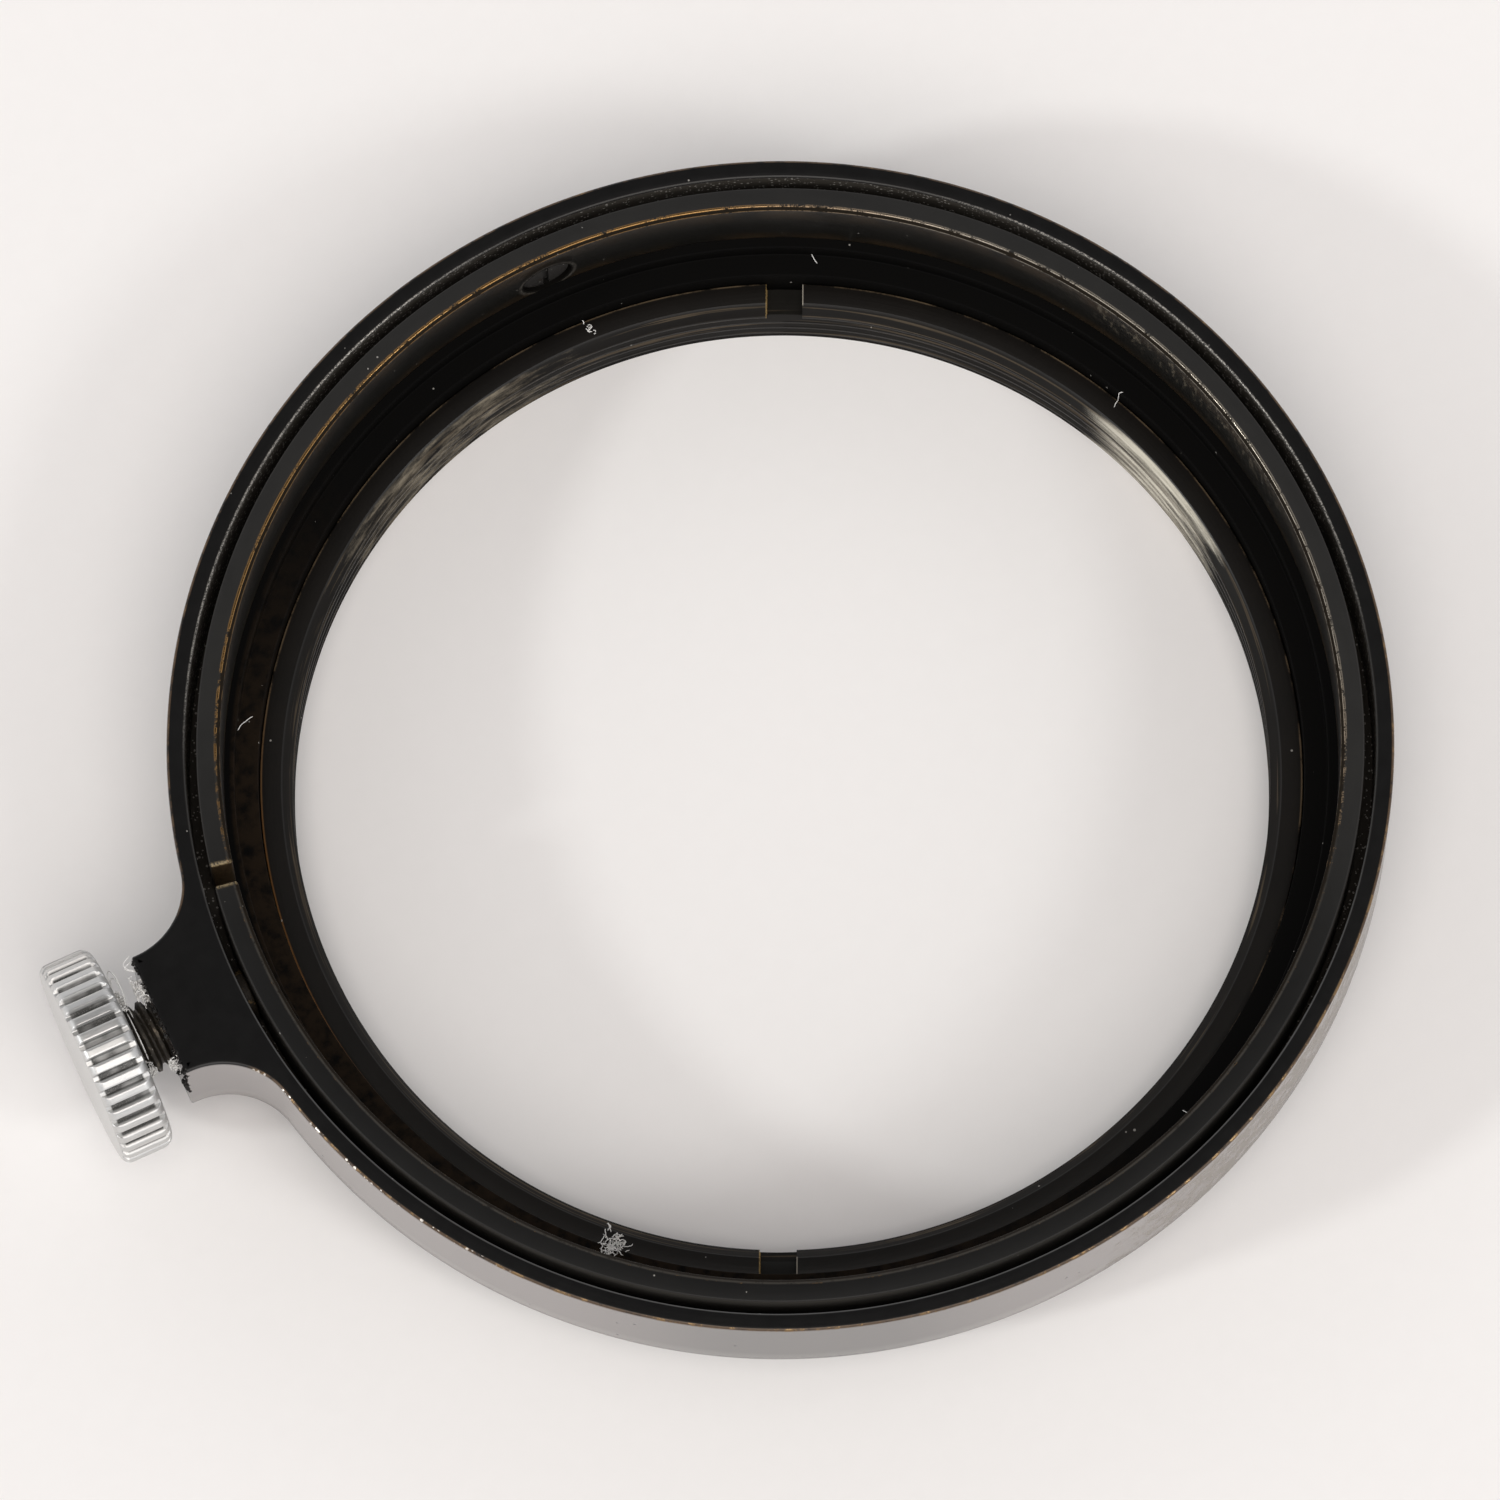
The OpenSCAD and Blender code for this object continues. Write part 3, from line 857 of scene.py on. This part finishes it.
def build_adapter():
    """The slotted ring with its fine thread cut as a true helix."""
    chamfer_z = ADAPTER_H - 0.45
    outside = rounded([
        (THREAD_R + 0.02, 0, 0), (SPIGOT_R, 0, 0.1), (SPIGOT_R, SPIGOT_H, 0), (ADAPTER_R, SPIGOT_H, 0.08),
        (ADAPTER_R, ADAPTER_H, 0.07), (THREAD_R + 0.55, ADAPTER_H, 0.04),
        (THREAD_R + 0.02, chamfer_z, 0)], 3)
    rows, turns_step = 720, THREAD_PITCH / 18
    heights = np.arange(chamfer_z - turns_step, turns_step, -turns_step)
    angles = np.linspace(0, 360, rows, endpoint=False)
    points = np.zeros((rows, len(outside) + len(heights), 3))
    points[:, :len(outside)] = revolve(outside, angles)
    for j, z in enumerate(heights):
        phase = (z / THREAD_PITCH - angles / 360) % 1
        cut_in = np.clip(1.45 - abs(phase - 0.5) * 3.4, 0, 1)
        fade = min(1, (chamfer_z - z) / 0.25) * min(1, z / 0.3)
        r = THREAD_R + THREAD_DEPTH * (1 - cut_in) * fade
        points[:, len(outside) + j, 0] = r * np.cos(np.radians(angles))
        points[:, len(outside) + j, 1] = r * np.sin(np.radians(angles))
        points[:, len(outside) + j, 2] = z
    vertices, faces = grid(points, True, True)
    obj = mesh_object("adapter_shell", vertices, faces, 40)
    slot = box_object("slot_cutter", (-ADAPTER_R - 1, -SLOT_W / 2, ADAPTER_H - SLOT_DEPTH),
                      (ADAPTER_R + 1, SLOT_W / 2, ADAPTER_H + 1))
    slot.data.transform(Matrix.Rotation(math.radians(SLOT_A), 4, "Z"))
    cut(obj, slot, sharp=40)
    return obj


def head_profile(thick):
    """The head's section over its two rounded rims, as (r, height)."""
    outer_rim, inner_rim = 0.45, 0.6
    quarter = np.linspace(0, math.pi / 2, 10)
    profile = [(1.2, 0.0), (HEAD_R - outer_rim - 0.8, 0.0), (HEAD_R - outer_rim - 0.3, 0.0)]
    profile += [(HEAD_R - outer_rim * (1 - math.sin(t)), outer_rim * (1 - math.cos(t))) for t in quarter]
    profile += [(HEAD_R, outer_rim + (thick - outer_rim - inner_rim) * k / 8) for k in range(1, 8)]
    profile += [(HEAD_R - inner_rim * (1 - math.cos(t)), thick - inner_rim * (1 - math.sin(t)))
                for t in quarter]
    profile += [(HEAD_R - inner_rim - 0.3, thick), (HEAD_R - inner_rim - 0.8, thick), (1.2, thick)]
    return np.array(profile)


def build_head():
    """The knurled head: flat ridges, narrower roots that run out into the rounded rims."""
    thick, samples = HEAD_X1 - HEAD_X0, 20
    profile = head_profile(thick)
    root_r = HEAD_R - KNURL_DEPTH
    count = KNURLS * samples
    share = (np.arange(count) % samples) / samples
    ridge = np.interp(share, [0, 0.04, 0.42, 0.47, 0.56, 0.86, 0.95, 1.0],
                      [0.9, 1, 1, 0.9, 0, 0, 0.8, 0.9])
    limit = root_r + KNURL_DEPTH * ridge
    r = np.minimum(profile[None, :, 0], limit[:, None])
    a = np.radians(np.arange(count) * 360 / count)[:, None]
    points = np.stack([r * np.cos(a), r * np.sin(a), profile[None, :, 1] + 0 * a], 2)
    depth = np.repeat(1 - ridge, len(profile)) * np.tile(profile[:, 0] > root_r, count)
    obj = mesh_object("knurled_head", *capped(points, 0, thick), 45, {"root": np.append(depth, [0, 0])})
    return along_x(obj, HEAD_X0)


def build_shank():
    """The threaded shank from inside the head to its dog point, with a true helical thread."""
    length = SHANK_TIP - HEAD_X1
    dog_r, dog_l, socket = 1.1, 0.5, 0.3
    step = SHANK_PITCH / 16
    count = 96
    heights = np.arange(-socket, length - dog_l, step)
    angles = np.arange(count) * 360 / count
    r = np.zeros((count, len(heights)))
    for j, u in enumerate(heights):
        phase = (u / SHANK_PITCH - angles / 360) % 1
        crest = np.clip(1.6 - abs(phase - 0.5) * 4.0, 0, 1)
        fade = min(1, max(0, (length - dog_l - u) / 0.35))
        r[:, j] = SHANK_R - SHANK_DEPTH + SHANK_DEPTH * crest * fade
    tail = [(SHANK_R - SHANK_DEPTH, length - dog_l), (dog_r, length - dog_l + 0.1),
            (dog_r, length - 0.08), (dog_r - 0.08, length)]
    a = np.radians(angles)[:, None]
    points = np.stack([r * np.cos(a), r * np.sin(a), heights[None, :] + 0 * a], 2)
    points = np.concatenate([points, revolve(np.array(tail), angles)], 1)
    return along_x(mesh_object("threaded_shank", *capped(points, -socket, length), 45), HEAD_X1)


def build_pad():
    """The flanged plug between the shank's point and the band."""
    length = pad_hi.x - pad_lo.x
    nose_r, flange = 1.25, 0.8
    profile = rounded([(0, 0, 0), (PAD_R, 0, 0.15), (PAD_R, flange, 0.06), (nose_r, flange, 0.05),
                       (nose_r, length, 0.12), (0, length, 0)], 4)
    return along_x(spindle("bore_pad", profile, 96), pad_lo.x)


# ---- lint


def fibre_points(rng, start, heading, length, curl, count=14):
    """A wandering line of points from start, in mm."""
    points = [np.array(start, float)]
    way = np.array(heading, float)
    way /= np.linalg.norm(way)
    for _ in range(count - 1):
        way = way + np.array([rng.uniform(-1, 1) for _ in range(3)]) * curl
        way /= np.linalg.norm(way)
        points.append(points[-1] + way * length / (count - 1))
    return points


def build_fibres(name, lines, radius_mm):
    """Fine fibres as one mesh of thin six-sided tubes."""
    vertices, faces = [], []
    sides = 6
    for line in lines:
        line = np.array(line)
        base = len(vertices)
        for i, p in enumerate(line):
            ahead = line[min(i + 1, len(line) - 1)] - line[max(i - 1, 0)]
            ahead = Vector(ahead).normalized()
            side = ahead.orthogonal().normalized()
            up = ahead.cross(side)
            thin = radius_mm * (0.35 if i in (0, len(line) - 1) else 1.0)
            for k in range(sides):
                a = 2 * math.pi * k / sides
                vertices.append(Vector(p) + (side * math.cos(a) + up * math.sin(a)) * thin)
        rings = len(line)
        for i in range(rings - 1):
            for k in range(sides):
                k2 = (k + 1) % sides
                faces.append((base + i * sides + k, base + i * sides + k2,
                              base + (i + 1) * sides + k2, base + (i + 1) * sides + k))
        faces.append(tuple(base + k for k in range(sides)))
        faces.append(tuple(base + (rings - 1) * sides + k for k in range(sides)))
    mesh = bpy.data.meshes.new(name)
    mesh.from_pydata([tuple(Vector(v) * MM) for v in vertices], [], faces)
    mesh.shade_smooth()
    obj = add_object(name, mesh)
    return obj


def tangle(rng, centre, spread, count, length, curl):
    """Short curly fibres round a point: a tuft."""
    lines = []
    for _ in range(count):
        start = [c + rng.gauss(0, w) for c, w in zip(centre, spread)]
        heading = [rng.gauss(0, 1) * w for w in spread]
        lines.append(fibre_points(rng, start, heading, rng.uniform(0.5, 1.0) * length, curl))
    return lines


def hemmed(lines, low_x, high_x):
    """The lines with every point held between two values of x."""
    return [[(min(max(p[0], low_x), high_x), p[1], p[2]) for p in line] for line in lines]


def build_shank_lint():
    """White fluff caught on the shank close under the head, with a loop of hair."""
    rng = random.Random(SEED)
    near, far = HEAD_X1 + 0.05, -BOSS_R - TRAVEL - 0.06
    lines = tangle(rng, (HEAD_X1 + 0.3, 1.75, SCREW_Z + 1.75), (0.10, 0.20, 0.16), 60, 0.5, 0.8)
    lines += tangle(rng, (HEAD_X1 + 0.3, -1.9, SCREW_Z + 0.9), (0.10, 0.16, 0.20), 40, 0.5, 0.8)
    for _ in range(14):
        a = rng.uniform(0, 2 * math.pi)
        turn = rng.choice((-1, 1)) * rng.uniform(0.6, 1.5)
        radius, x = SHANK_R + rng.uniform(0.0, 0.06), rng.uniform(near, far)
        lines.append([(x, (radius + 0.08 * math.sin(math.pi * t)) * math.cos(a + turn * t),
                       SCREW_Z + (radius + 0.08 * math.sin(math.pi * t)) * math.sin(a + turn * t))
                      for t in np.linspace(0, 1, 14)])
    for high, wide in ((3.3, 0.42), (2.9, 0.28)):
        loop = [(HEAD_X1 + 0.35 + 0.2 * math.sin(t), 1.3 + (high - 1.3) * math.sin(t / 2) ** 2,
                 SCREW_Z + 1.9 + wide * math.sin(t)) for t in np.linspace(0, 2 * math.pi, 30)]
        lines.append(loop)
    return build_fibres("shank_lint", hemmed(lines, near, far), 0.03)


def crumb_places(rng):
    """Places round the screw, along the boss's upper edge and down its near side."""
    spots = []
    for _ in range(26):
        a = rng.uniform(0, 2 * math.pi)
        spots.append((SHANK_R + 0.25 + rng.uniform(0, 0.3), a))
    places = [(-BOSS_R - rng.uniform(0.0, 0.1), r * math.cos(a), SCREW_Z + r * math.sin(a))
              for r, a in spots]
    places += [(-BOSS_R - rng.uniform(-0.05, 0.12), rng.uniform(-BOSS_HALF, BOSS_HALF),
                TOP - rng.uniform(0, 0.15)) for _ in range(34)]
    places += [(-BOSS_R - rng.uniform(-0.08, 0.14), -BOSS_HALF + rng.uniform(0, 0.35),
                TOP - abs(rng.gauss(0, 1.3))) for _ in range(26)]
    return places


def crumb(place, size, lumps, rings, sides):
    """Vertices of one lumpy ball, from its top point through its rings to its bottom point."""
    points = [Vector(place) + Vector((0, 0, size))]
    for i in range(rings):
        phi = math.pi * (i + 1) / (rings + 1)
        for k in range(sides):
            a = 2 * math.pi * k / sides
            way = Vector((math.sin(phi) * math.cos(a), math.sin(phi) * math.sin(a), math.cos(phi)))
            points.append(Vector(place) + way * (size * lumps[i * sides + k]))
    return points + [Vector(place) - Vector((0, 0, size))]


def build_crumbs():
    """Dark greasy crumbs clinging to the edges of the boss's end and round the screw."""
    rng = random.Random(SEED + 2)
    rings, sides = 5, 8
    vertices, faces = [], []
    for place in crumb_places(rng):
        size = rng.uniform(0.04, 0.13)
        lumps = [rng.uniform(0.6, 1.25) for _ in range(rings * sides)]
        base = len(vertices)
        vertices += crumb(place, size, lumps, rings, sides)
        last = base + 1 + (rings - 1) * sides
        for k in range(sides):
            k2 = (k + 1) % sides
            faces.append((base, base + 1 + k, base + 1 + k2))
            for i in range(rings - 1):
                a, b = base + 1 + i * sides, base + 1 + (i + 1) * sides
                faces.append((a + k, b + k, b + k2, a + k2))
            faces.append((last + k, base + 1 + rings * sides, last + k2))
    return mesh_object("boss_crumbs", vertices, faces, 60)


def ring_point(angle, radius, z):
    """A point at an angle in degrees, a radius and a height, in mm."""
    c, s = unit(angle)
    return (radius * c, radius * s, z)


def build_ring_lint():
    """Loose fibres and tufts on the ring, and white fluff at the boss's end."""
    rng = random.Random(SEED + 1)
    lines = tangle(rng, ring_point(226, 25.4, ADAPTER_H + 0.08), (0.28, 0.28, 0.06), 46, 0.8, 0.55)
    lines += tangle(rng, ring_point(226, 26.3, LEDGE_Z + 0.1), (0.16, 0.16, 0.05), 20, 0.5, 0.6)
    lines += tangle(rng, ring_point(87, 25.2, ADAPTER_H + 0.05), (0.14, 0.14, 0.03), 10, 0.4, 0.6)
    for angle, radius, z, length in ((61, 26.4, LEDGE_Z + 0.08, 1.5), (149, 26.2, LEDGE_Z + 0.06, 1.1),
                                     (293, 26.3, LEDGE_Z + 0.06, 0.8), (24, 25.3, ADAPTER_H + 0.05, 0.7)):
        across = unit(angle + 25)
        heading = (across[0], across[1], 0.05)
        lines.append(fibre_points(rng, ring_point(angle, radius, z), heading, length, 0.25))
    floor = {True: LEDGE_Z + 0.02, False: ADAPTER_H + 0.02}
    lines = [[(x, y, max(z, floor[math.hypot(x, y) > ADAPTER_R])) for x, y, z in line] for line in lines]
    fluff = tangle(rng, (-BOSS_R - 0.3, 1.65, TOP - 0.3), (0.14, 0.26, 0.22), 90, 0.6, 0.8)
    fluff += tangle(rng, (-BOSS_R - 0.3, -2.6, TOP - 0.2), (0.12, 0.14, 0.14), 36, 0.5, 0.8)
    for reach in (0.9, 0.6):
        fluff.append([(-BOSS_R - 0.52 * math.sin(t), 2.5 + reach * t / math.pi,
                       TOP - 0.2 + 0.3 * math.sin(t)) for t in np.linspace(0, math.pi, 24)])
    above = SCREW_Z + SHANK_R + 0.1
    fluff = [[(x, y, max(z, above)) for x, y, z in line] for line in fluff]
    return build_fibres("ring_lint", lines + hemmed(fluff, -BOSS_R - 0.54, -BOSS_R - 0.03), 0.024)


# ---- assembly


def dress(obj, material, body, slot, *nodes):
    """Gives a piece its material and body and hides the CAD nodes that it stands for; slot is not used.
    """
    obj.data.materials.clear()
    obj.data.materials.append(material)
    if body:
        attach(obj, body)
    if nodes:
        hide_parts(*nodes)
    return obj


dress(build_collar(), paint_collar(), "collar", "collar_finish", "collar_body")

band_paint = paint_band()
half_gap = math.degrees(math.asin(GAP_HALF / 2 / BAND_RO))
band_fixed = build_band("band_fixed_arm", SEAM_A, 360 + GAP_A - half_gap, False, True)
cut_anchor_recess(band_fixed)
dress(band_fixed, band_paint, "collar", "band_finish", "clamp_band")

band_free = build_band("band_free_arm", GAP_A + half_gap, SEAM_A, True, False)
dress(band_free, band_paint, None, "band_finish", "clamp_band_free_arm")
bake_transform(band_free)

dress(build_anchor(), paint_steel("anchor_steel", (0.030, 0.018, 0.009), (0.005, 0.0036, 0.0024), 0.42),
      "collar", "screw_steel", "band_screw")
dress(build_adapter(), paint_adapter(), "collar", "adapter_finish", "adapter_ring")
dress(build_head(), paint_head(), "thumbscrew", "head_plating", "thumbscrew_head")
dress(build_shank(), paint_steel("shank_steel", (0.10, 0.084, 0.064), (0.020, 0.015, 0.009), 0.50),
      "thumbscrew", "shank_steel", "thumbscrew_shank")
dress(build_pad(), paint_steel("pad_brass", (0.34, 0.22, 0.085), (0.020, 0.014, 0.008), 0.42),
      "pad", "bare_brass", "pressure_pad")
lint = paint_lint()
dress(build_shank_lint(), lint, "thumbscrew", None)
dress(build_ring_lint(), lint, "collar", None)
dress(build_crumbs(), paint_steel("grease", (0.030, 0.025, 0.020), (0.006, 0.005, 0.004), 0.45),
      "collar", None)

# ---- floor, lights, camera

FLOOR_HALF = 3000.0
floor = box_object("sweep", (-FLOOR_HALF, -FLOOR_HALF, -5), (FLOOR_HALF, FLOOR_HALF, 0))
floor.data.materials.append(paint_floor())

VIEW_AZIMUTH, VIEW_ELEVATION, VIEW_ROLL = -112.9, 72.47, 2.2
VIEW_DISTANCE = 0.5758
VIEW_AIM = Vector((-1.62 * MM, 0, TOP * MM))


def direction(azimuth, elevation):
    """Unit vector at an azimuth about +Z from +X and an elevation, in degrees."""
    a, e = math.radians(azimuth), math.radians(elevation)
    return Vector((math.cos(a) * math.cos(e), math.sin(a) * math.cos(e), math.sin(e)))


def build_camera():
    """A long lens looking down on the ring from the near side."""
    data = bpy.data.cameras.new("camera")
    data.lens, data.sensor_width = 283.0, 36.0
    data.clip_start, data.clip_end = 0.05, 10
    camera = add_object("camera", data)
    back = direction(VIEW_AZIMUTH, VIEW_ELEVATION)
    camera.location = VIEW_AIM + back * VIEW_DISTANCE
    camera.rotation_mode = "QUATERNION"
    level = (-back).to_track_quat("-Z", "Y")
    camera.rotation_quaternion = Quaternion(back, math.radians(-VIEW_ROLL)) @ level
    bpy.context.scene.camera = camera


def soft_light(name, azimuth, elevation, spread, strength, colour):
    """A distant soft light from a direction, as wide as spread in degrees."""
    data = bpy.data.lights.new(name, "SUN")
    data.angle = math.radians(spread)
    data.energy = strength
    data.color = colour
    light = add_object(name, data)
    light.rotation_mode = "QUATERNION"
    light.rotation_quaternion = (-direction(azimuth, elevation)).to_track_quat("-Z", "Y")


def build_world():
    """Soft room light: pale at the horizon, dark overhead."""
    world = bpy.data.worlds.new("studio")
    bpy.context.scene.world = world
    world.use_nodes = True
    tree = world.node_tree
    coordinates = tree.nodes.new("ShaderNodeTexCoord")
    split = tree.nodes.new("ShaderNodeSeparateXYZ")
    ramp = tree.nodes.new("ShaderNodeMapRange")
    ramp.interpolation_type = "SMOOTHSTEP"
    tree.links.new(coordinates.outputs["Generated"], split.inputs[0])
    tree.links.new(split.outputs[2], ramp.inputs["Value"])
    for key, value in (("From Min", 0.5), ("From Max", 0.9), ("To Min", 0.84), ("To Max", 0.04)):
        ramp.inputs[key].default_value = value
    background = tree.nodes["Background"]
    background.inputs["Color"].default_value = (0.96, 0.962, 0.985, 1)
    tree.links.new(ramp.outputs["Result"], background.inputs["Strength"])


build_camera()
build_world()
soft_light("key", 176, 30, 6, 0.70, (0.97, 0.99, 0.975))
soft_light("fill", -58, 36, 12, 0.50, (0.97, 0.99, 0.975))
soft_light("front", -110, 64, 50, 1.52, (1.0, 0.948, 0.905))
bpy.context.scene.view_settings.view_transform = "Standard"
